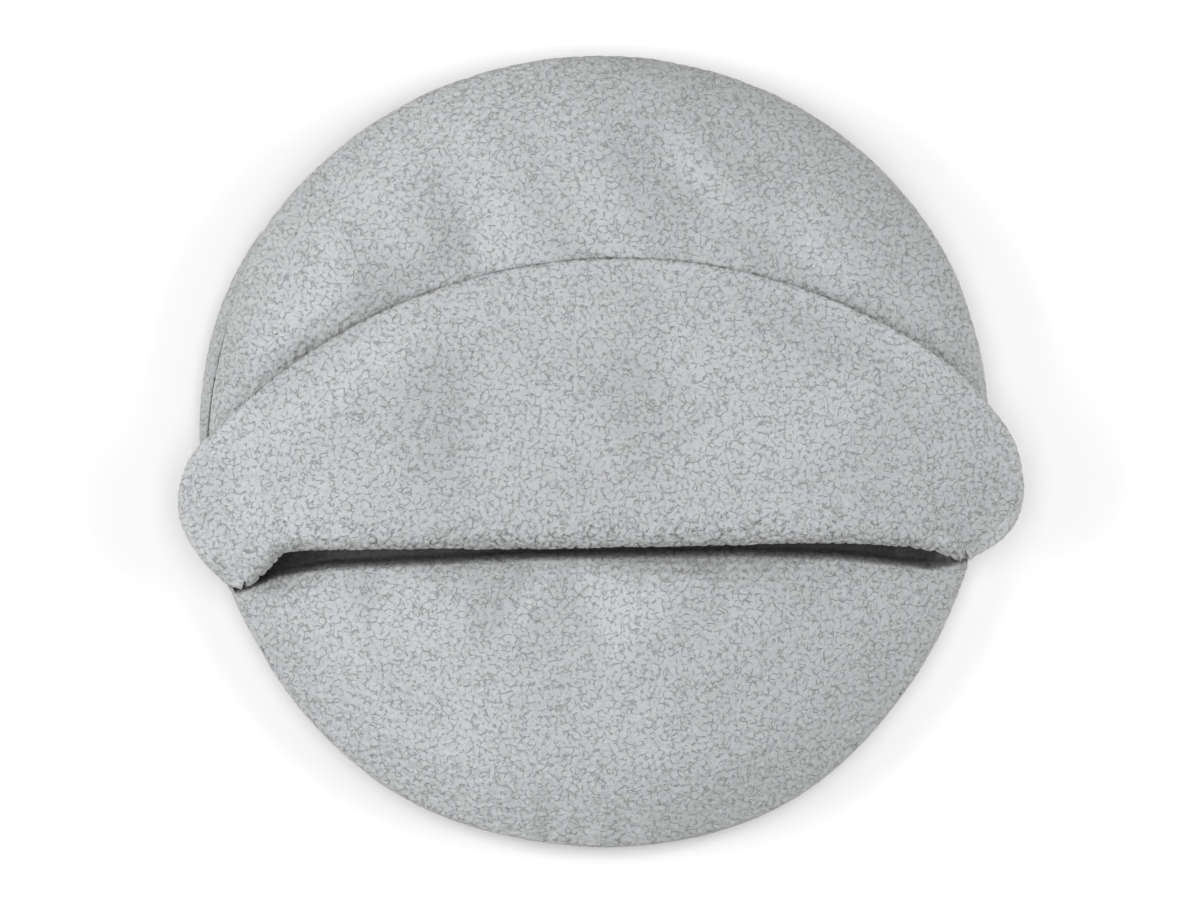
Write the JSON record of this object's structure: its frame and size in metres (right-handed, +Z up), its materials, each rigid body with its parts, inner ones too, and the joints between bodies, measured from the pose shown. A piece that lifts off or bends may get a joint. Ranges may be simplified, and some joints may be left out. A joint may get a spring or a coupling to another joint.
{
  "type": "hooded pet cushion bed",
  "caption": "Round grey sherpa pet bed: a stuffed cushion with a hood sewn round its rear half, the hood's front turned back as a wide flap.",
  "frame": {"origin": "middle of the round face that rests on the floor", "axes": "+Z up; the pouch's mouth faces -Y and the zip is at the rear, +Y; +X is to the right seen from above"},
  "size_m": [0.5366, 0.4989, 0.0988],
  "materials": {
    "sherpa": "pale neutral grey sherpa pile, matt, in tight 6 mm curls",
    "base_oxford": "dark grey plain-weave polyester with small rubber dots",
    "insert_liner": "white non-woven, matt",
    "fibre_filling": "white polyester fibre",
    "zip_tape": "grey woven tape",
    "zip_coil": "grey moulded coil, satin",
    "zip_metal": "nickel plated, satin"
  },
  "bodies": {
    "base": {"base_cloth": "base_oxford", "side_strip": "sherpa", "sleeping_panel": "sherpa", "insert_casing_top": "insert_liner", "insert_casing_bottom": "insert_liner", "insert_filling": "fibre_filling", "hood_piping": "sherpa", "zip_tape_upper": "zip_tape", "zip_tape_lower": "zip_tape", "zip_coil_upper": "zip_coil", "zip_coil_lower": "zip_coil", "zip_stop_closed": "zip_metal", "zip_stop_open": "zip_metal"},
    "hood": {"hood_outer_layer": "sherpa", "hood_lining_layer": "sherpa", "mouth_roll": "sherpa"},
    "flap": {"flap_outer_layer": "sherpa", "flap_lining_layer": "sherpa", "flap_hem": "sherpa"},
    "zip_slider_body": {"zip_slider": "zip_metal"},
    "zip_puller_body": {"zip_puller": "zip_metal"}
  },
  "joints": [
    {"name": "hood_lift", "type": "hinge", "parent": "base", "child": "hood", "pos_m": [0, 0.2455, 0.0475], "axis": [-1, 0, 0], "range_deg": [0, 18]},
    {"name": "flap_fold", "type": "hinge", "parent": "hood", "child": "flap", "pos_m": [0, -0.0535, 0.0888], "axis": [1, 0, 0], "range_deg": [0, 188]},
    {"name": "zip_travel", "type": "hinge", "parent": "base", "child": "zip_slider_body", "pos_m": [0, 0, 0.026], "axis": [0, 0, 1], "range_deg": [0, 94]},
    {"name": "puller_swing", "type": "hinge", "parent": "zip_slider_body", "child": "zip_puller_body", "pos_m": [0.1835, 0.17111, 0.026], "axis": [0, 0, -1], "range_deg": [0, 180]}
  ]
}
